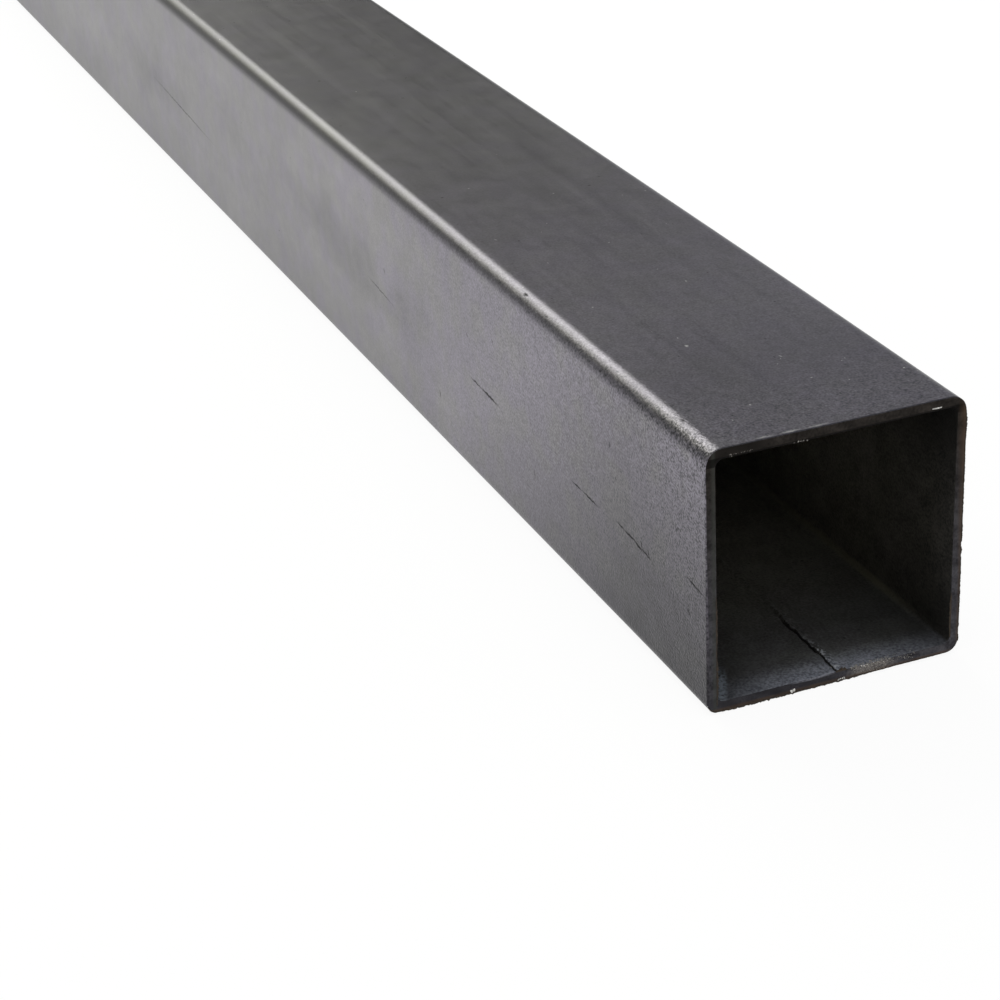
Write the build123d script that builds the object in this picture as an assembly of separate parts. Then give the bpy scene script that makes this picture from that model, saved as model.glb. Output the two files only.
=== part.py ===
from build123d import *
import os

# A cut length of welded square steel tube, in millimetres.
# X runs along the tube and Z is up. The origin is the centre of the underside, halfway along.
# Steel strip is rolled round, welded into a tube and squeezed square, so it is one piece of metal
# with one weld line, which lies along the inside of the wall that faces down.

# section
side = 40.0  # outside width, and outside height
wall = 1.5  # thickness of the four flat walls
outside_radius = 2.3  # the corners as seen from outside
inside_radius = 1.3  # the corners as seen from inside; squeezing leaves the steel thicker there

# cut length
length = 1000.0

# the ridge of weld metal inside the tube; the ridge outside is planed off flush at the mill
flash_height = 0.55  # from the wall up to the crest
flash_width = 1.9  # from the steep flank's foot to the end of the long slope
flash_crest = 0.6  # flat of the crest before its edges are rounded
flash_offset = 0.5  # from the middle of the wall to the steep flank
flash_round = 0.18  # rounding of the crest's two edges


def tube_wall():
    """The section of the strip itself: two rounded squares, one inside the other."""
    bore = side - 2 * wall
    with BuildSketch() as section:
        RectangleRounded(side, side, outside_radius)
        RectangleRounded(bore, bore, inside_radius, mode=Mode.SUBTRACT)
    return section.sketch


def weld_flash():
    """The section of the weld ridge: a steep flank, a blunt crest and a long slope down to the wall."""
    wall_face = wall - side / 2
    root = wall_face - wall / 2  # the weld metal runs down into the wall that it joins
    crest = wall_face + flash_height
    steep = flash_offset
    foot = steep + flash_width
    outline = [(steep, root), (steep, crest), (steep + flash_crest, crest), (foot, wall_face), (foot, root)]
    with BuildSketch() as ridge:
        with BuildLine():
            Polyline(*outline, close=True)
        make_face()
        crest_edges = ridge.vertices().group_by(Axis.Y)[-1]
        fillet(crest_edges, radius=flash_round)
    return ridge.sketch


def square_tube():
    """The section drawn out along X, half the length to each side of the origin, on its underside."""
    section = tube_wall() + weld_flash()
    upright = Plane(origin=(0, 0, side / 2), x_dir=(0, 1, 0), z_dir=(1, 0, 0))
    return extrude(upright * section, amount=length / 2, both=True)


os.makedirs("parts", exist_ok=True)
export_step(square_tube(), "parts/square_tube.step")
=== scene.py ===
import math
import random
from functools import partial

import bmesh
import bpy
from mathutils import Matrix, Vector, noise


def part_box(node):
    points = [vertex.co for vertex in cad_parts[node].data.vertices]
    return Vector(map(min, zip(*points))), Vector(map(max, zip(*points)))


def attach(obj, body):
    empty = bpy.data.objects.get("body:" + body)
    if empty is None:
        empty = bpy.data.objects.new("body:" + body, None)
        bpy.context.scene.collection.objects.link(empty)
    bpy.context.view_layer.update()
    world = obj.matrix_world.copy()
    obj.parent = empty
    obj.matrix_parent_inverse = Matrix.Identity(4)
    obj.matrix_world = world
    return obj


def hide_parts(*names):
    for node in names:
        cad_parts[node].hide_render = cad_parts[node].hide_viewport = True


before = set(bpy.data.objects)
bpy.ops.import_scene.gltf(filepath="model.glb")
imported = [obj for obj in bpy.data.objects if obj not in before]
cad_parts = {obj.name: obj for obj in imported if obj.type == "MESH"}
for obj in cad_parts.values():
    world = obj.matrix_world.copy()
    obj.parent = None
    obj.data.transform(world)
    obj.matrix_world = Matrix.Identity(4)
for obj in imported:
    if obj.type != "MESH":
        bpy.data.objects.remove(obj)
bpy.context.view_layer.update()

mm = 0.001

# One length of cold-formed square steel tube. Sizes are in millimetres, as a stockist gives them.
tube = {
    "node": "square_tube",
    "wall": 1.5,
    # as seen from the near end: lower right, upper right, upper left, lower left; no two are pressed alike
    "outsideRadii": (2, 2, 2.55, 1.65),
    "insideRadii": (1.15, 1.1, 1.25, 1.1),
    "endRadii": (2.05, 2.4, 2.45, 1.5),  # the outside again, at the very ends
    "endReach": (22, 60, 22, 22),
    "rightIn": (0.08, 25),  # the right wall leans in this much at the ends, over this length
    "cornerSteps": 9,
    "flatSteps": 6,  # divisions of a flat that run the whole length
    "edgeSteps": 20,  # finer divisions of each, on the sawn ends only
    "hollow": 0.035,  # the flats sink a little between the corners
    "wave": 0.012,  # and are never quite straight
    "swells": (160, 70),  # lengths of the slow and the quick unevenness of both
}

low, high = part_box(tube["node"])
side = (high.z - low.z) / mm
half = side / 2
bore = half - tube["wall"]
endX = (high.x - low.x) / mm / 2


def wobble(x, y, z, seed):
    return noise.noise(Vector((x, y, z + 7.3 * seed)))


def smooth(value, start, end):
    share = min(max((value - start) / (end - start), 0), 1)
    return share * share * (3 - 2 * share)


def addObject(name, data):
    made = bpy.data.objects.new(name, data)
    bpy.context.collection.objects.link(made)
    return made


# The weld ridge, inside on the wall that lies down: one steep side, a lumpy crest, one long slope
flash = {
    "height": 0.42,
    "width": 1.9,
    "offset": 0.28,  # from the middle of the wall to the steep foot
    "steepRun": 0.14,
    "crestEnd": 0.7,
    "groove": 0.06,  # along the steep foot
    # the section's columns by the ridge, from its steep foot; they wander with it, all but the first and last
    "columns": (
        -0.9, -0.3, -0.16, -0.08, -0.03, 0.02, 0.07, 0.12, 0.18, 0.26, 0.36, 0.48, 0.62,
        0.78, 0.94, 1.1, 1.26, 1.42, 1.58, 1.74, 1.9, 2.7,
    ),
    "wanders": ((11, 0.3, 3), (2.6, 0.18, 4), (0.9, 0.13, 12)),  # each wave's length, reach and seed
    "tornLength": 7,  # the saw tears it low this far in from an end
    "tornShare": 0.6,
    "settles": (11, 25),  # and between these it turns blunt, loses its groove
    "settledLoss": 0.5,  # and this share of its height
    # painted shade along the steep foot of the ridge:
    "footShadeReach": (0.08, 0.12),  # to either side of the steep foot, at the cut and further in
    "dirtWidens": (1, 7),  # between these distances from the cut
    "footShadeEnds": (12, 20),  # and it thins out between these
}


def ridgeAt(place, x):
    # height of the weld above the wall, how much painted shade lies black along its steep foot, and how far
    # it wanders
    fromEnd = endX - abs(x)
    columns = flash["columns"]
    wander = sum(reach * wobble(x / length, 0, 0, seed) for length, reach, seed in flash["wanders"])
    wander *= smooth(place, columns[0], columns[1]) * (1 - smooth(place, flash["width"], columns[-1]))
    lump = 0.9 + 0.4 * wobble(x / 6, 0, 0, 5) + 0.6 * wobble(x / 1.1, place / 1.5, 0, 6)
    torn = flash["tornShare"] + (1 - flash["tornShare"]) * smooth(fromEnd, 0, flash["tornLength"])
    settled = smooth(fromEnd, *flash["settles"])
    tall = flash["height"] * lump * torn * (1 - flash["settledLoss"] * settled)
    steep = flash["steepRun"] + (flash["crestEnd"] - flash["steepRun"]) * settled
    narrow, wide = flash["footShadeReach"]
    reach = narrow + (wide - narrow) * smooth(fromEnd, *flash["dirtWidens"])
    reach *= 1 + 1.1 * wobble(x / 1.3, 0, 0, 14)
    dirt = (1 - smooth(abs(place - 0.02), 0.5 * reach, reach)) * (1 - smooth(fromEnd, *flash["footShadeEnds"]))
    if place < 0:
        return -flash["groove"] * smooth(place, columns[1], -0.04) * torn * (1 - settled), dirt, wander
    if place < steep:
        return tall * smooth(place, -0.02, steep), dirt, wander
    if place < max(flash["crestEnd"], steep + 0.1):
        return tall * (1 + 0.4 * wobble(x / 0.7, place / 0.4, 0, 7)), dirt, wander
    if place < flash["width"]:
        fall = min((flash["width"] - place) / (flash["width"] - flash["crestEnd"]), 1)
        return tall * fall**1.3 * (1 + 0.5 * wobble(x / 0.7, place / 0.5, 0, 13)), dirt, wander
    return 0, dirt, wander


def flatDivisions(quarter):
    # rows of (share across the flat, kept along the outside, kept along the inside)
    fine = tube["edgeSteps"]

    def even(begin, finish, count):
        return [(begin + (finish - begin) * i / count, i % fine == 0, i % fine == 0) for i in range(count)]

    if quarter:
        rows = even(-1, 1, tube["flatSteps"] * fine)
    else:
        start, end = tube["insideRadii"][3] - bore, bore - tube["insideRadii"][0]
        shares = [(2 * (flash["offset"] + place) - start - end) / (end - start) for place in flash["columns"]]
        beside = tube["flatSteps"] // 2 * fine
        rows = even(-1, shares[0], beside)
        rows += [(share, i == 0, True) for i, share in enumerate(shares[:-1])]
        rows += even(shares[-1], 1, beside)
    # a column just inside each corner keeps the shading of the flat out of the corner
    rows[1] = (rows[1][0], True, True)
    rows[-1] = (rows[-1][0], True, True)
    return rows


def sectionColumns():
    columns = []
    for quarter in range(4):
        for place, outside, inside in flatDivisions(quarter):
            columns.append((quarter, True, place, outside, inside))
        for step in range(tube["cornerSteps"]):
            columns.append((quarter, False, 90 * step / tube["cornerSteps"], True, True))
    return columns


def sectionPoint(column, reach, radii):
    # place and outward direction of a column, measured from the middle of the section
    quarter, onFlat, place = column[:3]
    after = radii[quarter]
    if onFlat:
        start, end = radii[quarter - 1] - reach, reach - after
        point, out = Vector((start + (end - start) * (place + 1) / 2, -reach)), Vector((0, -1))
    else:
        angle = math.radians(place - 90)
        out = Vector((math.cos(angle), math.sin(angle)))
        point = Vector((reach - after, after - reach)) + after * out
    turn = Matrix.Rotation(math.radians(90 * quarter), 2)
    return turn @ point, turn @ out


def wallSink(column, x):
    # how far both skins of the wall lie inside the true square
    quarter, onFlat, place = column[:3]
    if not onFlat:
        return 0
    slow = wobble(x / tube["swells"][0], place * 0.7, quarter * 3.1, 1)
    quick = wobble(x / tube["swells"][1], place * 0.9, quarter * 3.1, 2)
    return (1 - place * place) * max(tube["hollow"] * (1 + 0.5 * slow) + tube["wave"] * quick, 0)


def outsideAt(column, x):
    radii = []
    for atEnd, along, reach in zip(tube["endRadii"], tube["outsideRadii"], tube["endReach"]):
        radii.append(atEnd + (along - atEnd) * smooth(endX - abs(x), 0, reach))
    point, out = sectionPoint(column, half, radii)
    leanIn = tube["rightIn"][0] * (1 - smooth(endX - abs(x), 0, tube["rightIn"][1]))
    point.x -= leanIn * smooth(point.x, 0, half)
    return point - out * wallSink(column, x), out, 0, 0


def insideAt(column, x):
    point, out = sectionPoint(column, bore, tube["insideRadii"])
    sink, ridge, dirt = wallSink(column, x), 0, 0
    if column[0] == 0 and column[1]:
        ridge, dirt, wander = ridgeAt(point.x - flash["offset"], x)
        point.x += wander
    return point - out * (sink + ridge), out, ridge / flash["height"], dirt


# How close together the section is repeated, as runs of (step, length) in from each end, then one step for
# the middle. The bore is finest near its mouths, where the ridge is seen.
stations = {
    "inner": ((0.25, 26), (0.6, 24), (1.5, 30)),
    "outer": ((1, 20),),
    "middleStep": 4,
}

# The two saw cuts
sawCut = {
    "skinStart": 0.45,  # where the long skins stop and the finer end begins
    "edgeRound": 0.045,
    "uneven": 0.7,  # the rounding comes and goes by this share
    "stretch": 1.3,  # over about this length
    "leftRound": 0.2,  # more of it low on the left, where the near end has been dragged
    "rightRound": 0.1,
    "faceSteps": 3,
    "rough": 0.025,
}


def stationList(skin):
    near = [endX - sawCut["skinStart"]]
    for step, length in stations[skin]:
        start = near[-1]
        near += [start - step * (i + 1) for i in range(int(length / step))]
    count = round(near[-1] / stations["middleStep"])
    near += [near[-1] * (1 - (i + 1) / count) for i in range(count)]
    return [-x for x in near] + near[-2::-1]


def innerWear(place, end):
    # how far the inner edge of an end is rounded over
    stretch = sawCut["stretch"]
    swing = wobble(place.x / stretch, place.y / stretch, 0, 8 + end)
    return sawCut["edgeRound"] * (1 + sawCut["uneven"] * swing)


def outerWear(place, end):
    # the same for the outer edge, where the right side and the low left of the near end have more of it
    worn = innerWear(place, end)
    uneven = 1 + 0.8 * wobble(place.y / 2.2, 0, 0, 16)
    onRight, onLeft = (smooth(way * place.x, half - 0.8, half - 0.1) for way in (1, -1))
    lowDown = 1 - smooth(place.y, -8, 8)
    worn += sawCut["rightRound"] * onRight * uneven
    return worn + end * sawCut["leftRound"] * onLeft * (0.25 + 0.75 * lowDown)


def buildTube():
    columns = sectionColumns()
    verts, faces, slots, ridges, dirtAndShadeValues = [], [], [], [], []

    def addLoop(places, xs):
        first = len(verts)
        for i, place in enumerate(places):
            deep = xs[i] if isinstance(xs, list) else xs
            verts.append(Vector((deep, place[0].x, place[0].y + half)) * mm)
            ridges.append(place[2])
            dirtAndShadeValues.append(place[3])
        return list(range(first, len(verts)))

    def addFace(corners, slot):
        faces.append(corners)
        slots.append(slot)

    def joinLoops(a, b, slot, leftSlot=None):
        for i in range(len(a)):
            j = (i + 1) % len(a)
            onLeft = leftSlot is not None and verts[a[i]].y < -(half - 0.5) * mm
            addFace((a[i], a[j], b[j], b[i]), leftSlot if onLeft else slot)

    def joinFine(coarse, picks, fine, slot):
        # a coarse loop to a finer one, in fans that meet halfway
        for i in range(len(coarse)):
            after = (i + 1) % len(coarse)
            span = (picks[after] - picks[i]) % len(fine)
            middle = span // 2
            for step in range(span):
                a, b = fine[(picks[i] + step) % len(fine)], fine[(picks[i] + step + 1) % len(fine)]
                addFace((coarse[i if step < middle else after], a, b), slot)
            addFace((coarse[i], fine[(picks[i] + middle) % len(fine)], coarse[after]), slot)

    # the long skins
    ends = {}
    for name, pick, at, slot in (("outer", 3, outsideAt, 0), ("inner", 4, insideAt, 2)):
        loops = [addLoop([at(c, x) for c in columns if c[pick]], x) for x in stationList(name)]
        for a, b in zip(loops, loops[1:]):
            joinLoops(a, b, slot)
        ends[name] = (loops[0], loops[-1], [i for i, c in enumerate(columns) if c[pick]])

    # the ends: out of the bore, over its edge, across the sawn face, and over the outer edge
    for end, sign in ((0, -1), (1, 1)):
        face = sign * endX
        outs = [outsideAt(c, face) for c in columns]
        ins = [insideAt(c, face) for c in columns]
        worn = [innerWear(p[0], end) for p in ins]
        wornOut = [outerWear(p[0], end) for p in outs]
        rows = []
        for share, deep in ((0, 1), (0.3, 0.3), (1, 0)):
            rows.append([(p[0] + p[1] * w * share, w * deep, p[2], p[3]) for p, w in zip(ins, worn)])
        outer = []
        for share, deep in ((1, 0), (0.3, 0.3), (0, 1)):
            outer.append([(p[0] - p[1] * w * share, w * deep, 0, 0) for p, w in zip(outs, wornOut)])
        for step in range(1, sawCut["faceSteps"]):
            share = step / sawCut["faceSteps"]
            row = []
            for a, b in zip(rows[2], outer[0]):
                p = a[0].lerp(b[0], share)
                row.append((p, abs(sawCut["rough"] * wobble(p.x / 2, p.y / 0.5, 0, 10)), 0, 0))
            rows.append(row)
        loops = [addLoop(row, [face - sign * p[1] for p in row]) for row in rows + outer]
        for a, b in zip(loops[:-2], loops[1:-1]):
            joinLoops(a, b, 1, 0 if b is loops[-2] else None)
        joinLoops(loops[-2], loops[-1], 0)
        joinFine(ends["inner"][end], ends["inner"][2], loops[0], 2)
        joinFine(ends["outer"][end], ends["outer"][2], loops[-1], 0)

    mesh = bpy.data.meshes.new("squareTube")
    mesh.from_pydata([tuple(v) for v in verts], [], faces)
    mesh.polygons.foreach_set("material_index", slots)
    work = bmesh.new()
    work.from_mesh(mesh)
    bmesh.ops.recalc_face_normals(work, faces=work.faces)
    work.to_mesh(mesh)
    work.free()
    for name, values in (("ridge", ridges), ("dirt", dirtAndShadeValues)):
        mesh.attributes.new(name, "FLOAT", "POINT").data.foreach_set("value", values)
    mesh.polygons.foreach_set("use_smooth", [True] * len(mesh.polygons))
    mesh.set_sharp_from_angle(angle=math.radians(50))
    mesh.update()
    return addObject("squareTube", mesh)


# What the blade has left on the ends. Top and bottom walls are measured along Y, the other two up from the
# underside, and the depth across a wall from its outside in.
burrs = {
    # torn lips: wall, start and end, depth they are rooted at, how far proud of the cut and how far over the
    # edge they reach, how ragged they are, finish
    "lips": [
        ("top", -6.9, -4.6, 1.5, 0.05, 0.13, 0.9, "dull"),
        ("top", 14.4, 15.9, 1.12, 0.12, 0.05, 0.5, "bright"),
        ("right", 1.5, 2.6, 0, 0.03, 0.16, 0.5, "brown"),
        ("right", 3.8, 4.6, 0, 0.03, 0.12, 0.6, "brown"),
        ("right", 4.6, 15, 0, 0.03, 0.03, 1.2, "brown"),
        ("right", 7.6, 11.4, 0.1, 0.08, 0.05, 1.1, "dull"),
        ("right", 15.5, 16.6, 0, 0.03, 0.15, 0.4, "brown"),
        ("right", 17.4, 20.6, 0, 0.03, 0.11, 0.5, "brown"),
        ("right", 20.6, 33, 0, 0.03, 0.03, 1.2, "brown"),
        ("right", 33, 37.6, 0, 0.03, 0.12, 0.7, "brown"),
        ("bottom", -20.3, -2.6, 0, 0.03, 0.27, 0.35, "brown"),
        ("bottom", -9.8, 7.4, 0, 0.03, 0.21, 0.35, "brown"),
        ("bottom", 5.4, 9.5, 0, 0.02, 0.05, 0.8, "brown"),
        ("bottom", 9.5, 18, 0, 0.02, 0.02, 0.8, "brown"),
        ("bottom", 0.1, 1.9, 1.5, 0.08, 0.36, 1, "brown"),
        ("left", 1, 9, 1.5, 0.02, 0.18, 0.5, "brown"),
        ("left", 8.6, 18, 1.5, 0, 0.13, 0.4, "brown"),
        ("right", 2.4, 9.5, 1.5, 0, 0.13, 0.4, "brown"),
    ],
    # crumbs: wall, start and end, least and most depth, how many, how big, finish; deeper than the wall they
    # lie inside the mouth
    "crumbs": [
        ("top", -16.4, -15.9, 1.38, 1.46, 2, 0.13, "pale"),
        ("top", -16.6, -13, 1.08, 1.22, 26, 0.065, "pale"),
        ("top", -6.9, -4.7, 1.42, 1.6, 14, 0.17, "pale"),
        ("top", 9.6, 11.2, 0, 0.12, 5, 0.13, "dull"),
        ("bottom", -7, -6.4, 0.3, 0.45, 6, 0.38, "bright"),
        ("bottom", 0.4, 1.9, 0.08, 0.3, 9, 0.18, "bright"),
        ("bottom", 2.4, 8.8, 1.1, 2.1, 190, 0.14, "pale"),
        ("bottom", 3, 8.4, 0.2, 1.2, 60, 0.1, "pale"),
        ("bottom", 3.4, 6.6, 1.2, 1.6, 10, 0.17, "bright"),
        ("bottom", 8.6, 12.8, 0.7, 2.6, 70, 0.11, "pale"),
        ("bottom", -2, 3, 1.5, 3.4, 40, 0.09, "pale"),
        ("left", 1.2, 1.9, 0, 0.05, 1, 0.16, "bright"),
    ],
    "walls": ("top", "right", "bottom", "left"),
    "farLips": 14,
    "farCrumbs": 8,
    "farStarts": (-15, 8),  # they start between these places
    "step": 0.16,
    "rooted": (0.22, 0.12),  # lips start this far inside the cut, and this far inside the wall
    "rise": 0.7,  # and grow to their full size over this length
    "seed": 41,
    "slots": {"dull": 1, "bright": 3, "brown": 4, "pale": 5},
}


def farRows():
    # the far end's own lips and crumbs
    draw = random.Random(burrs["seed"])
    lips, crumbs = [], []

    def begin(i):
        wall = burrs["walls"][i % 4]
        return wall, draw.uniform(*burrs["farStarts"]) + (half if wall in ("left", "right") else 0)

    for i in range(burrs["farLips"]):
        wall, start = begin(i)
        run, root = draw.uniform(1.2, 8), draw.choice((0, tube["wall"]))
        finish = draw.choice(("dull", "brown", "bright"))
        proud, over = draw.uniform(0.02, 0.1), draw.uniform(0.03, 0.2)
        lips.append((wall, start, start + run, root, proud, over, 0.8, finish))
    for i in range(burrs["farCrumbs"]):
        wall, start = begin(i)
        run, finish = draw.uniform(1, 6), draw.choice(("pale", "brown", "bright"))
        count, size = draw.randint(4, 24), draw.uniform(0.08, 0.16)
        crumbs.append((wall, start, start + run, 0.2, 1.8, count, size, finish))
    return lips, crumbs


def onEnd(wall, sign, along, depth):
    # a point on an end, and the way into the bore from its wall
    inward = {"top": (0, -1), "right": (-1, 0), "bottom": (0, 1), "left": (1, 0)}[wall]
    inward = Vector((0, *inward))
    radius = tube["endRadii"][3]
    past = radius - half - along
    if wall == "bottom" and depth == 0 and past > 0:
        # on round the lower left corner
        inward = Vector((0, math.sin(past / radius), math.cos(past / radius)))
        return Vector((sign * endX, radius - half, radius)) - inward * radius, inward
    if wall in ("top", "bottom"):
        run = Vector((0, along, 0))
    else:
        run = Vector((0, 0, along - half))
    setIn = tube["rightIn"][0] * (1 - depth / tube["wall"]) if wall == "right" else 0
    return Vector((sign * endX, 0, half)) - inward * (half - setIn - depth) + run, inward


def addLip(work, row, sign, seed):
    # a torn lip: a closed wedge rooted in the wall, thick where it leaves it and ragged at its tip
    wall, start, end, depth, proud, over, ragged, finish = row
    count = max(int((end - start) / burrs["step"]), 3)
    deep, behind = burrs["rooted"]
    rings = []
    for step in range(count + 1):
        share = step / count
        nearer = min(share, 1 - share)
        taper = min(1, 4 * nearer, (end - start) * nearer / burrs["rise"])
        uneven = wobble(step * 0.37, seed * 1.7, 0, 20) + wobble(step * 1.3, seed, 0, 21)
        size = (taper + 0.05) * max(0.1, 1 + 1.5 * ragged * uneven)
        foot, inward = onEnd(wall, sign, start + (end - start) * share, depth)
        foot += inward * tube["hollow"] * 0.8
        reach = inward if depth > tube["wall"] / 2 else -inward
        root = foot - reach * behind
        out = Vector((sign, 0, 0))
        points = (
            root - out * deep,
            root + out * 0.012,  # a hair proud of the cut
            foot + reach * over * size * 0.45 + out * proud * size,  # its crest
            foot + reach * over * size - out * 0.04,  # its tip
            foot + reach * 0.01 - out * (0.1 + 0.1 * size),  # back at the edge
        )
        rings.append([work.verts.new(p * mm) for p in points])
    made = [work.faces.new(rings[0][::-1]), work.faces.new(rings[-1])]
    for a, b in zip(rings, rings[1:]):
        made += [work.faces.new((a[i], a[(i + 1) % 5], b[(i + 1) % 5], b[i])) for i in range(5)]
    for face in made:
        face.material_index = burrs["slots"][finish]
    return made


def addCrumb(work, place, size, slot, draw):
    # one crumb of steel: a crooked eight-sided grain, sunk a little into what it sticks to
    angle = draw.uniform(0, 6.28)
    turn = Matrix.Rotation(angle, 3, Vector([draw.uniform(-1, 1) for i in range(3)]).normalized())
    tips = []
    for axis in range(3):
        for way in (1, -1):
            tip = Vector((0, 0, 0))
            tip[axis] = way * size * draw.uniform(0.45, 1.1)
            tips.append(work.verts.new((place + turn @ tip) * mm))
    made = []
    for x in (0, 1):
        for y in (2, 3):
            for z in (4, 5):
                made.append(work.faces.new((tips[x], tips[y], tips[z])))
                made[-1].material_index = slot
    return made


def addCrumbs(work, row, sign, draw):
    wall, start, end, least, most, count, size, finish = row
    made = []
    for i in range(count):
        depth = draw.uniform(least, most)
        along = draw.uniform(start, end)
        place = onEnd(wall, sign, along, min(depth, tube["wall"]))[0]
        place.x -= sign * max(depth - tube["wall"], 0)
        made += addCrumb(work, place, size * draw.uniform(0.5, 1.15), burrs["slots"][finish], draw)
    return made


def addBurrs(piece):
    work = bmesh.new()
    work.from_mesh(piece.data)
    made = []
    draw = random.Random(burrs["seed"] + 1)
    for sign, (lips, crumbs) in ((1, (burrs["lips"], burrs["crumbs"])), (-1, farRows())):
        for i, row in enumerate(lips):
            made += addLip(work, row, sign, i + 30 * sign)
        for row in crumbs:
            made += addCrumbs(work, row, sign, draw)
    bmesh.ops.recalc_face_normals(work, faces=made)
    work.to_mesh(piece.data)
    work.free()


def colour(code):
    # sRGB hex to the linear values that shaders take
    parts = [int(code[i:i + 2], 16) / 255 for i in (1, 3, 5)]
    linear = [p / 12.92 if p <= 0.04045 else ((p + 0.055) / 1.055) ** 2.4 for p in parts]
    return (*linear, 1)


def addNode(tree, kind, inputs=(), **settings):
    # inputs are the first sockets in their order, or any of them by number or name
    made = tree.nodes.new("ShaderNode" + kind)
    for name, value in settings.items():
        setattr(made, name, value)
    for socket, value in (inputs if isinstance(inputs, dict) else dict(enumerate(inputs))).items():
        if isinstance(value, bpy.types.NodeSocket):
            tree.links.new(value, made.inputs[socket])
        elif isinstance(value, bpy.types.Node):
            tree.links.new(value.outputs[0], made.inputs[socket])
        else:
            made.inputs[socket].default_value = value
    return made


def clearTree(owner):
    # empties the node tree of a material, a world or a lamp, and gives back what adds to it
    owner.use_nodes = True
    owner.node_tree.nodes.clear()
    return partial(addNode, owner.node_tree)


def newMaterial(name):
    material = bpy.data.materials.new(name)
    return material, clearTree(material)


def repeat(size):
    # texture scale for a pattern this many millimetres across
    return 1000 / size


def weigh(add, start, patterns):
    # a level that each pattern lifts and lowers by its own amount
    level = start
    for pattern, amount in patterns:
        swing = add("Math", (pattern, amount, -amount / 2), operation="MULTIPLY_ADD")
        level = add("Math", (level, swing), operation="ADD")
    return level


def paintOver(add, tone, *coats):
    # colours laid over the first one in turn, each by its own share
    for share, coat in coats:
        under, over = (colour(c) if isinstance(c, str) else c for c in (tone, coat))
        tone = add("Mix", {0: share, 6: under, 7: over}, data_type="RGBA").outputs[2]
    return tone


def findPlace(add):
    # the place on the tube, and in millimetres how far in from its nearer end, across and up that is
    place = add("TexCoord").outputs["Object"]
    inMm = add("VectorMath", {0: place, "Scale": 1 / mm}, operation="SCALE")
    along, across, up = add("SeparateXYZ", (inMm,)).outputs
    fromMiddle = add("Math", (along,), operation="ABSOLUTE")
    fromEnd = add("Math", (endX, fromMiddle), operation="SUBTRACT")
    return place, fromEnd, across, up


def findFacing(add):
    # how squarely the skin faces either side, and how far it faces up
    facing = add("SeparateXYZ", (add("TexCoord").outputs["Normal"],)).outputs
    return add("Math", (facing[1],), operation="ABSOLUTE"), facing[2]


def crooked(add, place, pattern, reach):
    # places shifted by a pattern, by up to half of reach in millimetres: what reads them has crooked outlines
    shift = add("VectorMath", (pattern.outputs["Color"], (0.5, 0.5, 0.5)), operation="SUBTRACT")
    shift = add("VectorMath", {0: shift, "Scale": reach * mm}, operation="SCALE")
    return add("VectorMath", (place, shift), operation="ADD").outputs[0]


def scatter(add, place, size, crowd):
    # one point in each cell of this many millimetres: the distance from it, three random draws of the cell's
    # own, and whether it is one of the share that is chosen
    cell = add("TexVoronoi", {"Vector": place, "Scale": repeat(size)})
    draws = add("SeparateColor", (cell.outputs["Color"],)).outputs
    return cell.outputs["Distance"], draws, add("Math", (draws[0], crowd), operation="LESS_THAN")


def softSpot(add, place, middle, reach, turned=(0, 0, 0)):
    # 1 in the middle of a round or drawn-out spot and 0 at its edge; middle and reach are in millimetres
    middle, reach = ([v * mm for v in row] for row in (middle, reach))
    spot = add("Mapping", {
        "Vector": place, "Location": middle, "Rotation": turned, "Scale": reach}, vector_type="TEXTURE")
    return add("TexGradient", (spot,), gradient_type="SPHERICAL").outputs["Fac"]


def addSkin(add, material, tone, metallic, roughness, height, strength, depth):
    # the finished surface, with relief this many millimetres deep
    bump = add("Bump", {"Height": height, "Strength": strength, "Distance": depth * mm})
    shader = add("BsdfPrincipled", {
        "Base Color": tone, "Metallic": metallic, "Roughness": roughness, "Normal": bump})
    add("OutputMaterial", {"Surface": shader})
    return material


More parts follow.
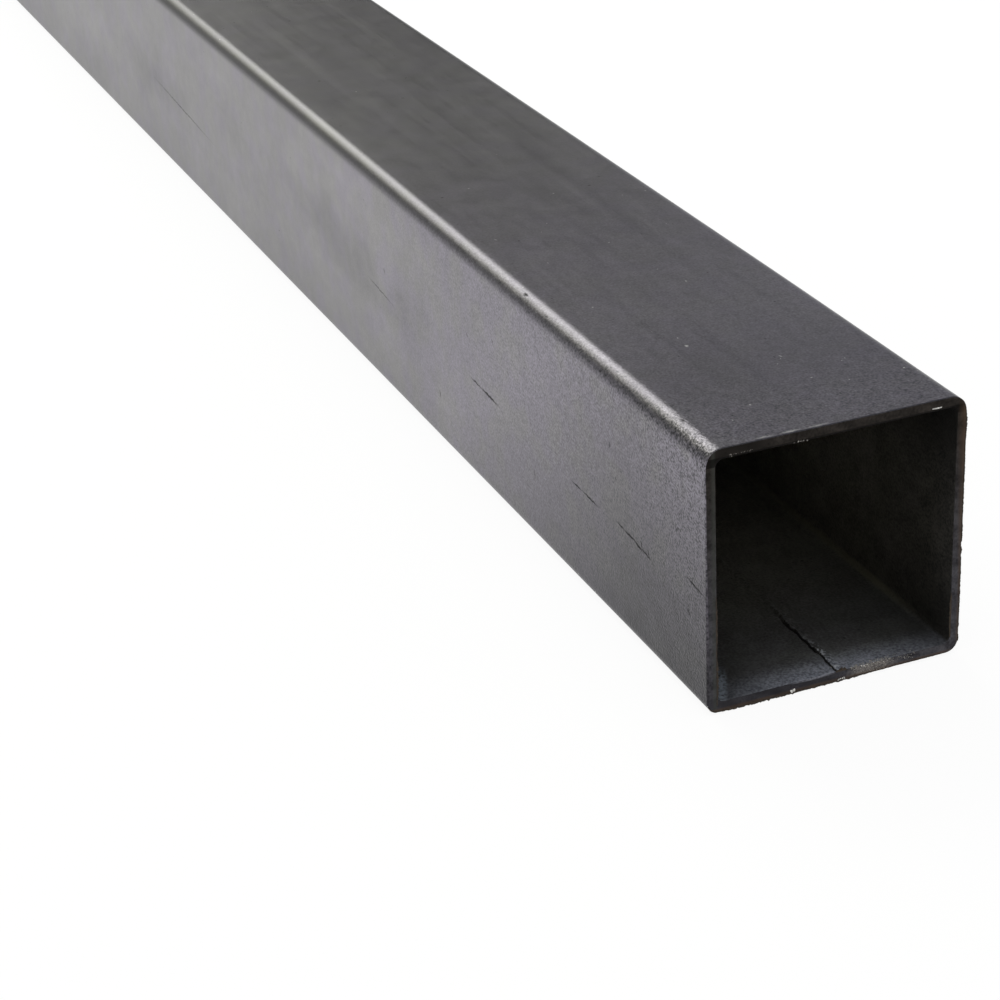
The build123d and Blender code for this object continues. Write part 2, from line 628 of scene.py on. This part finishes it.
# Marks by the near end. Scrapes, chips and knocks have the distance from that end and the place across of
# both their ends, then width and strength.
marks = {
    "spread": 1.15,  # the soft ends reach this much past a mark
    "gain": 1.6,  # and its soft middle is lifted to a flat one
    "through": 3,  # how far off its wall it still counts
    # dark, on the sides: a scrape left by a roller table, in pieces, and small knocks
    "side": [
        (-279, 18.1, -233, 15.4, 0.5, 0.4),
        (-135, 18.8, -122, 17.5, 0.4, 0.5),
        (-85.6, 17.95, -80.6, 17.75, 0.45, 0.8),
        (-81.6, 17.8, -73.6, 17.45, 0.6, 1),
        (-45.4, 16.6, -41, 16.5, 0.4, 0.9),
        (-41.6, 16.55, -35.2, 16.4, 0.46, 1),
        (-29, 17, -25.8, 16.6, 0.4, 0.9),
        (-26.3, 16.75, -22.4, 16.55, 0.5, 1.2),
        (-23, 16.5, -20.2, 16.15, 0.62, 1.3),
        (-20.7, 16.3, -17.4, 15.95, 0.46, 1.1),
        (-6.2, 18.75, -0.6, 18.05, 0.5, 1.1),
        (-6, 13.9, -5, 13, 0.46, 1.2),
        (-20.9, 17.6, -20.3, 16.4, 0.36, 1),
        (-18.6, 17.2, -18, 16.2, 0.36, 1),
        (-13.5, 17.5, -13, 16.9, 0.35, 0.7),
        (-9.2, 25.1, -8.8, 24.3, 0.35, 0.8),
        (-126, 23.4, -125.6, 22.4, 0.4, 0.5),
        (-100.8, 9.9, -100.5, 8.3, 0.45, 0.6),
        (-59.7, 12.3, -59.5, 10.4, 0.35, 0.55),
        (-30.7, 29.2, -30.5, 27.8, 0.35, 0.55),
        (-28.9, 24.1, -28.7, 23.5, 0.4, 0.8),
        (-30.9, 28.8, -30.7, 28, 0.35, 0.6),
        (-3.7, 35.5, -3.5, 34.9, 0.3, 0.7),
        (-8.6, 25.3, -8.4, 24.6, 0.32, 0.8),
        (-69.1, 25.3, -68.8, 24.5, 0.4, 0.6),
        (-75.3, 28.5, -74.9, 27.9, 0.4, 0.6),
        (-81.3, 28, -80.9, 27.4, 0.4, 0.5),
        (-86.4, 25.4, -86, 24.6, 0.45, 0.6),
    ],
    # bright, on top: chips in the scale, and the rim that the blade has rubbed
    "top": [
        (-33.9, -6.3, -33.1, -6.2, 0.5, 1),
        (-37, -6, -36.5, -6.1, 0.4, 0.7),
        (-56.7, 5, -56.1, 5, 0.4, 0.8),
        (-24.1, 3.8, -23.5, 3.9, 0.36, 0.7),
        (-19.1, 11.4, -18.7, 11.5, 0.3, 0.7),
        (-11, -7.8, -10.6, -7.7, 0.34, 0.9),
        (-7.7, -12.2, -7.3, -12.1, 0.3, 0.8),
        (-87.8, -13.8, -87, -13.7, 0.4, 0.5),
        (-74.2, -10.5, -73.5, -10.5, 0.36, 0.4),
        (-0.75, -12.6, -0.7, -9.4, 0.6, 0.4),
        (-0.7, -8.6, -0.75, -5.2, 0.6, 0.6),
        (-0.65, -5, -0.7, -1, 0.5, 0.4),
    ],
    # dark, where the rolls have picked scale off the upper left corner; across is degrees from the side up
    "corner": [
        (-64.6, 64, -62.6, 64, 0.75, 0.8),
        (-55.3, 50, -53.9, 50, 0.5, 0.25),
        (-11.6, 76, -9.6, 76, 0.9, 0.6),
        (-34.3, 30, -33.4, 30, 0.7, 0.6),
        (-21, 34, -20.2, 34, 0.6, 0.5),
    ],
    # gloves and slings have smeared the oil of the left side: distance from the near end, height, half the
    # length and height of the smear, and how much paler it is
    "smears": [
        (-277, 19, 36, 8, -0.26),
        (-218, 23, 14, 7, -0.12),
        (-166, 20.5, 34, 6, -0.17),
        (-130, 18.5, 34, 6.5, -0.17),
        (-343, 6, 22, 7, -0.14),
        (-331, 16.7, 22, 7, 0.12),
        (-309, 5, 18, 6, 0.12),
        (-229, 33, 20, 5, 0.1),
        (-149, 32, 46, 8, 0.14),
    ],
}


def markMask(add, place, wall):
    level = 0
    for x0, a0, x1, a1, width, depth in marks[wall]:
        middleX, across = endX + (x0 + x1) / 2, (a0 + a1) / 2
        turn, reach = math.atan2(a1 - a0, x1 - x0), math.hypot(x1 - x0, a1 - a0) / 2 * marks["spread"]
        if wall == "top":
            spot = (middleX, across, side), (reach, width / 2, marks["through"]), (0, 0, turn)
        elif wall == "side":
            spot = (middleX, -half, across), (reach, marks["through"], width / 2), (0, -turn, 0)
        else:
            # round the corner
            radius, angle = tube["outsideRadii"][2], math.radians(across)
            y, z = radius - radius * math.cos(angle) - half, side - radius + radius * math.sin(angle)
            spot = (middleX, y, z), ((x1 - x0) / 2, width / 2, width / 2)
        soft = softSpot(add, place, *spot)
        deep = add("Math", (soft, marks["gain"] * depth), operation="MULTIPLY")
        level = add("Math", (level, deep), operation="MAXIMUM")
    return add("Math", (level, 1), operation="MINIMUM")


def oiledMillSteel():
    # Mild steel strip, rolled hot, oiled, then formed cold. Its thin tight oxide is dark grey, the oil evens
    # the gloss, and the forming rolls leave faint streaks along the tube and a bright line on each corner.
    material, add = newMaterial("oiledMillSteel")
    place, fromEnd, across, up = findPlace(add)
    sideways, upward = findFacing(add)
    long = add("Mapping", {"Vector": place, "Scale": (0.35, 1, 1)})  # three times as long as wide
    drawn = add("Mapping", {"Vector": place, "Scale": (0.02, 1, 1)})  # fifty times
    cloud = add("TexNoise", {"Vector": long, "Scale": repeat(26), "Detail": 3})
    mottle = add("TexNoise", {"Vector": place, "Scale": repeat(5), "Detail": 5})
    streak = add("TexNoise", {"Vector": drawn, "Scale": repeat(1.4), "Detail": 2})
    # the oxide's grain is under 0.05 mm; drawn at 0.35 mm, it just shows, and it is coarser by the ends
    grain = add("TexNoise", {"Vector": place, "Scale": repeat(0.35), "Detail": 1})
    fleece = add("TexNoise", {"Vector": place, "Scale": repeat(1.1), "Detail": 1})
    coarse = add("MapRange", (fromEnd, 150, 0, 0.08, 1.1))
    coarsest = add("MapRange", (fromEnd, 22, 5, 0, 0.65))
    coarse = add("Math", (coarse, coarsest), operation="ADD")
    upright = add("MapRange", (sideways, 0.3, 1, 0.62, 1.5))
    coarse = add("Math", (coarse, upright), operation="MULTIPLY")
    grit = weigh(add, 0, ((grain, 1), (fleece, 0.4)))
    grit = add("Math", (grit, coarse), operation="MULTIPLY")
    # the sides are blotchier than the top; painted light makes them paler than it, most of all high up and
    # far in
    aside = add("MapRange", (sideways, 0.96, 1, 0, 1))
    high = add("MapRange", (up, 12, 30, 0, 1))
    farIn = add("MapRange", (fromEnd, 40, 130, 0, 0.09))
    paintedSideLight = add("Math", (high, farIn, 0.13), operation="MULTIPLY_ADD")  # this much paler everywhere
    swing = weigh(add, 0, ((cloud, 0.16), (mottle, 0.36), (streak, 0.2)))
    calm = add("MapRange", (aside, 0, 1, 0.3, 1))
    blur = add("TexNoise", {"Vector": place, "Scale": repeat(2.4), "Detail": 2})
    smudge = add("TexNoise", {"Vector": place, "Scale": repeat(15), "Detail": 3})
    handled = weigh(add, 0, ((blur, 2.4), (smudge, 3.6)))
    handled = add("Math", (handled, calm), operation="MULTIPLY")
    level = 0.5
    for part, amount in ((swing, calm), (paintedSideLight, aside), (grit, 1.4), (handled, farIn)):
        level = add("Math", (part, amount, level), operation="MULTIPLY_ADD")
    smeared = crooked(add, place, smudge, 20)
    for x, z, reach, rise, paler in marks["smears"]:
        spot = softSpot(add, smeared, (endX + x, -half, z), (reach, half, rise))
        level = add("Math", (spot, paler, level), operation="MULTIPLY_ADD")
    # the oxide leans to violet in places, most near the ends, and to plain grey in others
    hue = add("TexNoise", {"Vector": place, "Scale": repeat(6), "Detail": 3})
    hue = add("MapRange", (hue, 0.38, 0.62, -0.55, 0.45))
    hue = add("Math", (hue, calm, 0.35), operation="MULTIPLY_ADD")
    byEnd = add("MapRange", (fromEnd, 140, 80, 0, 0.5))
    hue = add("Math", (hue, byEnd), operation="ADD", use_clamp=True)
    pale = paintOver(add, "#8f8d8d", (hue, "#8f8a95"))

    # painted shade: darker where the corners start off the sides, deepening the dark reflection beside each
    # corner's highlight
    begun = add("MapRange", (sideways, 1, 0.97, 0, 0.2))
    over = add("MapRange", (sideways, 0.9, 0.8, 1, 0))
    cornerStartShade = add("Math", (begun, over), operation="MULTIPLY")

    # pits where scale has been rolled in, up to 0.5 mm across, crowding towards the ends
    ragged = add("TexNoise", {"Vector": place, "Scale": repeat(0.7), "Detail": 3})
    torn = crooked(add, place, ragged, 0.6)
    crowd = add("MapRange", (fromEnd, 120, 0, 0.04, 0.2))
    distance, draws, pit = scatter(add, torn, 1.7, crowd)
    size = add("MapRange", (draws[1], 0, 1, 0.04, 0.16))
    inPit = add("Math", (distance, size), operation="LESS_THAN")
    for share in (inPit, draws[2]):  # some are shallow
        pit = add("Math", (pit, share), operation="MULTIPLY")
    dark = pit
    for wall in ("side", "corner"):
        dark = add("Math", (dark, markMask(add, torn, wall)), operation="MAXIMUM")

    # bright flecks where scale has chipped off, about 0.25 mm across, fewer on the sides
    crowd = add("MapRange", (fromEnd, 120, 0, 0.03, 0.16))
    distance, draws, fleck = scatter(add, torn, 1.6, crowd)
    inFleck = add("Math", (distance, 0.075), operation="LESS_THAN")
    fewer = add("MapRange", (aside, 0, 1, 1, 0.25))
    for share in (inFleck, draws[2], fewer):
        fleck = add("Math", (fleck, share), operation="MULTIPLY")
    bright = add("Math", (fleck, markMask(add, torn, "top")), operation="MAXIMUM")

    # darker low down by the ends: grime from handling and standing, and painted shade for the shadowed floor
    # that the sides mirror there
    near = add("MapRange", (fromEnd, 95, 25, 0.2, 0.9))
    rise = add("Math", (up, -0.018, near), operation="MULTIPLY_ADD")
    lowGrimeAndShade = weigh(add, rise, ((cloud, 0.5), (mottle, 0.3)))
    dirt = add("Math", (lowGrimeAndShade, near), operation="MINIMUM", use_clamp=True)

    # the blade has scorched a dark line along the top of each end
    burnt = add("MapRange", (fromEnd, 0.4, 0.25, 0, 0.9))
    onTop = add("MapRange", (upward, 0.6, 0.9, 0, 1))
    burnt = add("Math", (burnt, onTop), operation="MULTIPLY")

    # the planed strip where the weld stood proud outside, under the tube
    under = add("Math", (up, 0.6), operation="LESS_THAN")
    fromSeam = add("Math", (across, -1.2), operation="ADD")  # the seam is beside the middle
    fromSeam = add("Math", (fromSeam,), operation="ABSOLUTE")
    strip = add("MapRange", (fromSeam, 1.9, 2.4, 1, 0))
    planed = add("Math", (under, strip), operation="MULTIPLY")

    tone = paintOver(
        add, "#3c3b40", (level, pale), (cornerStartShade, "#2c2b2e"), (dirt, "#232224"), (dark, "#131213"),
        (bright, "#c9c8c6"), (burnt, "#1f1e23"), (planed, "#8d8c8b"))
    rough = weigh(add, 0.35, ((cloud, 0.03), (mottle, 0.06), (streak, 0.05)))
    rough = add("Math", (dark, 0.2, rough), operation="MULTIPLY_ADD")
    height = weigh(add, 0.5, ((mottle, 0.4), (streak, 0.2)))
    for part, amount in ((grit, 1.4), (dark, -0.9)):
        height = add("Math", (part, amount, height), operation="MULTIPLY_ADD")
    return addSkin(add, material, tone, 1, rough, height, 0.7, 0.04)


# On the near cut: where the blade rubbed it paler as it came through, where it ran coldest (low on the left)
# and hottest (high on it), and where the weld shines. Across and up, half width and height, share, colour.
cutSpots = [
    ((5.8, 0.6), (4.4, 1.8), 0.4, "#8d8781"),
    ((-11, 0.6), (15, 2.2), 0.62, "#1d1c20"),
    ((-15, 39.4), (6, 2), 0.5, "#121110"),
    ((-3.6, 1.46), (3.8, 0.3), 0.6, "#7d7f87"),
]


def sawnSteel():
    # The cut of a cold saw, darkened by its oil: fine lines across the wall, a scorched upper part and
    # a breath of rust at the outer edge.
    material, add = newMaterial("sawnSteel")
    place, _, across, up = findPlace(add)
    # tooth marks are 0.1 mm or so apart; drawn 2.5 mm apart, and crooked (the node's own are tau / 20)
    leaning = add("Mapping", {"Vector": place, "Rotation": (0.35, 0, 0)})
    lines = add("TexWave", {
        "Vector": leaning, "Scale": repeat(2.5133) * math.tau / 20, "Distortion": 3,
        "Detail": 2}, bands_direction="Z")
    blotch = add("TexNoise", {"Vector": place, "Scale": repeat(2.5), "Detail": 4})
    speck = add("TexNoise", {"Vector": place, "Scale": repeat(0.35), "Detail": 2})
    level = weigh(add, 0.5, ((lines.outputs["Fac"], 0.3), (blotch, 1.3), (speck, 1.6)))
    hot = add("MapRange", (up, 12, 36, 0, 1))
    burnt = paintOver(add, "#1c1a18", (level, "#34302d"))
    tone = paintOver(add, "#29282b", (level, "#4b4a4e"), (hot, burnt))
    patchy = add("MapRange", (speck, 0.35, 0.6, 0.45, 1.2))
    for middle, reach, amount, code in cutSpots:
        spot = softSpot(add, place, (endX, *middle), (2, *reach))
        share = add("MapRange", (spot, 0, 0.5, 0, amount))
        share = add("Math", (share, patchy), operation="MULTIPLY")
        tone = paintOver(add, tone, (share, code))
    # the inner third of the left wall is a shade greener
    green = add("MapRange", (across, 0.7 - half, 1.1 - half, 0, 0.5))
    greenEnd = add("MapRange", (across, 1.3 - half, 1.6 - half, 0.5, 0))
    green = add("Math", (green, greenEnd), operation="MINIMUM")
    # the inner edge of the upper wall is painted black: dark steel, and painted shade on its rounding
    inner = side - tube["wall"]
    under = add("MapRange", (up, inner + 0.3, inner + 0.18, 0, 0.75))
    overBore = add("Math", (up, inner - 1), operation="GREATER_THAN")
    under = add("Math", (under, overBore), operation="MULTIPLY")
    # rust along the outer edge of the right and lower walls
    browner = add("MapRange", (up, 12, 34, half - 0.7, half - 1.5))
    right = add("MapRange", (across, browner, half - 0.05, 0, 1))
    down = add("MapRange", (up, 0.6, 0.1, 0, 1))
    rim = add("Math", (right, down), operation="MAXIMUM")
    spotty = add("MapRange", (blotch, 0.35, 0.6, 0.5, 1))
    rust = add("Math", (rim, spotty), operation="MULTIPLY")
    tone = paintOver(add, tone, (green, "#3d3f3b"), (under, "#0c0b0a"), (rust, "#392408"))
    metal = add("MapRange", (rust, 0, 1, 1, 0.4))
    height = weigh(add, 0.5, ((lines.outputs["Fac"], 0.6), (speck, 0.6)))
    return addSkin(add, material, tone, metal, 0.5, height, 0.5, 0.06)


def scaledBore():
    # The bore never meets a roll or a cloth: brown-black scale under dried oil, dull and blotchy. The saw's
    # oil has wet the first few centimetres black, and pale filings lie on the floor of the mouth. Further in
    # the scale is paler, dry and with painted light on it; painted shade darkens it towards the corners and
    # under the top wall, and a painted sheen runs along both lower corners.
    material, add = newMaterial("scaledBore")
    place, fromEnd, across, up = findPlace(add)
    sideways, upward = findFacing(add)
    blotch = add("TexNoise", {"Vector": place, "Scale": repeat(4), "Detail": 5, "Roughness": 0.6})
    speck = add("TexNoise", {"Vector": place, "Scale": repeat(0.4), "Detail": 2})
    level = weigh(add, 0.5, ((blotch, 1.5), (speck, 2.5)))
    # shares that come in between two distances from the end, or two heights
    mouth, inside, deeper, high = (
        add("MapRange", row, interpolation_type="SMOOTHSTEP") for row in (
            (fromEnd, 6.5, 0.5, 0, 1),  # filings
            (fromEnd, 6, 50, 0, 1),  # dry scale, and painted light deep in the bore
            (fromEnd, 6, 22, 0, 1),  # the painted sheen in the lower corners
            (up, 26.5, 33.5, 0, 0.45),  # painted shade under the top wall
        )
    )
    # oily tones by the mouth and dry ones further in; the paler dry ones carry painted light as well
    oily, dryScaleAndLight, wetFloor, dryFloorAndLight, filings = (paintOver(add, dark, (level, light)) for dark, light in (
        ("#12110f", "#464440"), ("#504c46", "#7a766e"), ("#3d3d3e", "#5c5d60"), ("#625f58", "#8a877f"),
        ("#4e525c", "#9599a3")))
    ground = paintOver(add, wetFloor, (inside, dryFloorAndLight), (mouth, filings))
    lying = add("MapRange", (upward, 0.6, 0.95, 0, 1))
    tone = paintOver(add, oily, (inside, dryScaleAndLight), (lying, ground))
    # old oil tints it green or brown, but for the mouth
    hue = add("TexNoise", {"Vector": place, "Scale": repeat(7), "Detail": 2})
    hue = add("MapRange", (hue, 0.35, 0.65, 0, 1))
    stain = paintOver(add, "#a6aa8c", (hue, "#aca69b"), (mouth, (0.5, 0.5, 0.5, 1)))  # mid grey tints nothing
    stained = add("Mix", {0: 0.35, 6: tone, 7: stain}, data_type="RGBA", blend_type="SOFT_LIGHT")

    # painted shade: darker towards the corners
    fromCentre = add("Math", (up, -half), operation="ADD")
    fromCentre = add("Math", (fromCentre,), operation="ABSOLUTE")
    fromSide = add("Math", (across,), operation="ABSOLUTE")
    corner = add("Math", (fromCentre, fromSide), operation="MINIMUM")
    cornerShadeShare = add("MapRange", (fromEnd, 3, 15, 0.7, 0.25))
    corner = add("MapRange", (corner, 6, bore - 2, 0, cornerShadeShare))

    # painted sheen in the lower corners, where the skin turns from the floor to a wall: a pale band for their
    # fillets' reflection
    turning = add("Math", (sideways, upward), operation="MULTIPLY")
    paintedFilletSheen = add("MapRange", (turning, 0.06, 0.5, 0, 0.62), interpolation_type="SMOOTHSTEP")
    inCorner = add("Math", (fromSide, bore - 2), operation="GREATER_THAN")
    for share in (deeper, inCorner):
        paintedFilletSheen = add("Math", (paintedFilletSheen, share), operation="MULTIPLY")

    # a heap of pale filings in the near mouth's left corner
    heap = softSpot(add, place, (endX - 3.6, -16.2, 1.6), (6.4, 1.2, 1.6), (0, 0, -0.47))
    heap = add("Math", (heap, level), operation="MULTIPLY")
    heap = add("Math", (heap, 2.1), operation="MULTIPLY", use_clamp=True)

    # the weld ridge: bright crumbs on its crest by the mouth, and painted shade, black, along its steep foot
    ridge = add("Attribute", attribute_name="ridge").outputs["Fac"]
    crumbs = add("MapRange", (ridge, 0.15, 0.7, 0, 1))
    hard = add("MapRange", (speck, 0.5, 0.62, 0, 1))
    byMouth = add("MapRange", (fromEnd, 11, 3, 0.1, 1))
    for share in (hard, byMouth):
        crumbs = add("Math", (crumbs, share), operation="MULTIPLY")
    dirt = add("Attribute", attribute_name="dirt").outputs["Fac"]
    footShade = add("MapRange", (speck, 0.3, 0.5, 0.45, 1))
    footShade = add("Math", (footShade, dirt), operation="MULTIPLY")

    # pits in the scale, about 0.4 mm across, with crooked outlines
    ragged = add("TexNoise", {"Vector": place, "Scale": repeat(0.8), "Detail": 2})
    distance, draws, pit = scatter(add, crooked(add, place, ragged, 0.8), 1.5, 0.3)
    inPit = add("MapRange", (distance, 0.05, 0.22, 1, 0))
    for share in (inPit, draws[1]):
        pit = add("Math", (pit, share), operation="MULTIPLY")

    tone = paintOver(
        add, stained.outputs[2], (corner, "#151412"), (high, "#0d0c0b"), (paintedFilletSheen, "#62604e"),
        (heap, "#7c848e"), (crumbs, "#a6aab0"), (footShade, "#0c0b0a"), (pit, "#0c0b0a"))
    height = weigh(add, 0.5, ((blotch, 0.5), (speck, 0.9), (pit, -0.8)))
    return addSkin(add, material, tone, 0.3, 0.55, height, 0.6, 0.12)


def tornSteel(name, dark, light, metal, rough):
    # Steel that the blade has torn and thrown: crumpled far below what shows, so a dull broken sheen
    material, add = newMaterial(name)
    place = add("TexCoord").outputs["Object"]
    grain = add("TexNoise", {"Vector": place, "Scale": repeat(0.3), "Detail": 2})
    tone = paintOver(add, dark, (weigh(add, 0.5, ((grain, 2),)), light))
    shader = add("BsdfPrincipled", {"Base Color": tone, "Metallic": metal, "Roughness": rough})
    add("OutputMaterial", {"Surface": shader})
    return material


# The studio: a white floor, a long softbox overhead, a smaller one over the near end, a grey wall out of shot
studio = {
    "floorReach": 14,
    "floorHeight": -0.0004,  # the tube stands on the burr that hangs from its edge
    "floorColour": "#fafafa",
    "floorShown": 0.93,  # the share that is plain white to the camera; the rest is lit and keeps shadows
    "fill": 0.6,  # how strongly the white world lights; it shows as plain white
    "bankPlace": (-1.35, -0.45, 1),
    "bankSize": (2.1, 1.9),
    "bankRadiance": 4.3,
    "bankColours": ("#eff3d0", "#fcfef5"),  # at its left side, and over the rest
    "bankFade": (-1.39, 0.1, 0, 1),  # between two places across, and its strength at each
    "bankEdge": (0.31, 0.45, 1, 0),
    "bankNearer": (-2.4, -0.3, 0.58, 1.28),  # between two places along
    "topPlace": (0.7, -0.1, 1.5),
    "topSize": (0.6, 0.6),
    "topRadiance": 5,
    "wallX": -3.4,
    "wallSize": (6, 5),  # half its width, and its height
    "wallColours": ("#f7faf5", "#eaedff"),  # low down and high up
    "wallTurns": (1.45, 2.1, 0, 1),  # between these heights
    # brighter to the right of a line that leans right as it climbs; the top of the tube mirrors this part
    "wallLean": -0.28,
    "wallRight": (1.01, 1.87, 0, 0.5),
    # and again low on the left
    "wallLeft": (-0.5, 0.8, 0.51, 0),
    "wallLow": (0.7, 1.5, 1, 0),
}


def seenShare(add, share):
    # the share for rays from the camera and, so that metal and glass show the same, for theirs
    path = add("LightPath")
    seen = path.outputs["Is Camera Ray"]
    for other in ("Is Glossy Ray", "Is Transmission Ray"):
        seen = add("Math", (seen, path.outputs[other]), operation="MAXIMUM")
    return add("Math", (seen, share), operation="MULTIPLY")


def addStage(name, corners, material):
    mesh = bpy.data.meshes.new(name)
    mesh.from_pydata(corners, [], [(0, 1, 2, 3)])
    mesh.materials.append(material)
    made = addObject(name, mesh)
    return made


def addFloor():
    material, add = newMaterial("whiteFloor")
    share = seenShare(add, studio["floorShown"])
    paint = add("BsdfDiffuse", {"Color": colour(studio["floorColour"])})
    glow = add("Emission", {"Color": (1, 1, 1, 1), "Strength": 1})
    mix = add("MixShader", (share, paint, glow))
    add("OutputMaterial", {"Surface": mix})
    r, z = studio["floorReach"], studio["floorHeight"]
    addStage("floor", [(-r, -r, z), (r, -r, z), (r, r, z), (-r, r, z)], material)


def addWall():
    material, add = newMaterial("greyWall")
    _, across, up = add("SeparateXYZ", (add("TexCoord").outputs["Object"],)).outputs
    line = add("Math", (up, studio["wallLean"], across), operation="MULTIPLY_ADD")
    right, left, lowDown = (
        add("MapRange", (value, *studio[part]), interpolation_type="SMOOTHSTEP")
        for value, part in ((line, "wallRight"), (across, "wallLeft"), (up, "wallLow")))
    level = add("Math", (left, lowDown, right), operation="MULTIPLY_ADD")
    turned = add("MapRange", (up, *studio["wallTurns"]))
    lower, upper = studio["wallColours"]
    tint = paintOver(add, lower, (turned, upper))
    glow = add("Emission", {"Color": tint, "Strength": level})
    add("OutputMaterial", {"Surface": glow})
    x, (y, z) = studio["wallX"], studio["wallSize"]
    wall = addStage("wall", [(x, -y, 0), (x, y, 0), (x, y, z), (x, -y, z)], material)
    wall.visible_camera = False
    wall.visible_diffuse = False
    wall.visible_shadow = False


def addWorld():
    world = bpy.data.worlds.new("studio")
    bpy.context.scene.world = world
    add = clearTree(world)
    level = add("MapRange", (seenShare(add, 1), 0, 1, studio["fill"], 1))
    sky = add("Background", {"Color": (1, 1, 1, 1), "Strength": level})
    add("OutputWorld", {"Surface": sky})


def gradeBank(lamp):
    # the softbox fades and yellows towards its left side, and is stronger at its near end
    add = clearTree(lamp.data)
    place = add("NewGeometry").outputs["Position"]
    along, across, _ = add("SeparateXYZ", (place,)).outputs
    fade, edge = (
        add("MapRange", (across, *studio[part]), interpolation_type="SMOOTHSTEP")
        for part in ("bankFade", "bankEdge"))
    nearer = add("MapRange", (along, *studio["bankNearer"]))
    left, rest = studio["bankColours"]
    tint = paintOver(add, left, (fade, rest))
    level = add("Math", (fade, edge), operation="MULTIPLY")
    level = add("Math", (level, nearer), operation="MULTIPLY")
    glow = add("Emission", {"Color": tint, "Strength": level})
    add("OutputLight", {"Surface": glow})


def addLamp(name, place, size, radiance):
    data = bpy.data.lights.new(name, "AREA")
    data.shape = "RECTANGLE"
    data.size, data.size_y = size
    data.energy = radiance * math.pi * size[0] * size[1]  # watts that give this radiance over the whole lamp
    lamp = addObject(name, data)
    lamp.location = place
    lamp.visible_camera = False
    return lamp


# The camera is a little above the tube's near end, to its left
shot = {
    "azimuth": 68.82,
    "elevation": 26.16,
    "roll": -2.876,
    "lens": 91.7,
    "fromEnd": (271.74, -154.4, 182.89),  # from the middle of the end's bottom edge, in mm
}


def addCamera():
    azimuth, elevation, roll = (math.radians(shot[k]) for k in ("azimuth", "elevation", "roll"))
    level = math.cos(elevation)
    back = Vector((math.sin(azimuth) * level, -math.cos(azimuth) * level, math.sin(elevation)))
    right = Vector((0, 0, 1)).cross(back).normalized()
    up = back.cross(right)
    across = right * math.cos(roll) + up * math.sin(roll)
    upright = up * math.cos(roll) - right * math.sin(roll)
    data = bpy.data.cameras.new("camera")
    data.lens = shot["lens"]
    data.clip_start = 0.01
    camera = addObject("camera", data)
    turn = Matrix((across, upright, back)).transposed().to_4x4()
    camera.matrix_world = Matrix.Translation(Vector(shot["fromEnd"]) * mm + Vector((high.x, 0, 0))) @ turn
    bpy.context.scene.camera = camera


addCamera()
piece = buildTube()
for material in (
    oiledMillSteel(),
    sawnSteel(),
    scaledBore(),
    tornSteel("freshBurr", "#8b8a87", "#e2e1dd", 0.6, 0.45),  # torn minutes ago, bare and bright
    tornSteel("rustyBurr", "#15110c", "#3d2f1f", 0.2, 0.75),  # gone brown since
    tornSteel("oilyFilings", "#55524f", "#b9b5ae", 0.4, 0.6),  # saw filings stuck down by the oil
):
    piece.data.materials.append(material)
print("finishes", len(piece.data.materials))
addBurrs(piece)
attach(piece, "root")
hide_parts(tube["node"])
faces = piece.data.polygons
print("tube", len(faces), "faces", sum(len(f.vertices) - 2 for f in faces), "triangles")

addFloor()
addWall()
addWorld()
gradeBank(addLamp("bank", studio["bankPlace"], studio["bankSize"], studio["bankRadiance"]))
addLamp("topLight", studio["topPlace"], studio["topSize"], studio["topRadiance"])
bpy.context.scene.view_settings.view_transform = "Standard"
print("studio ready")
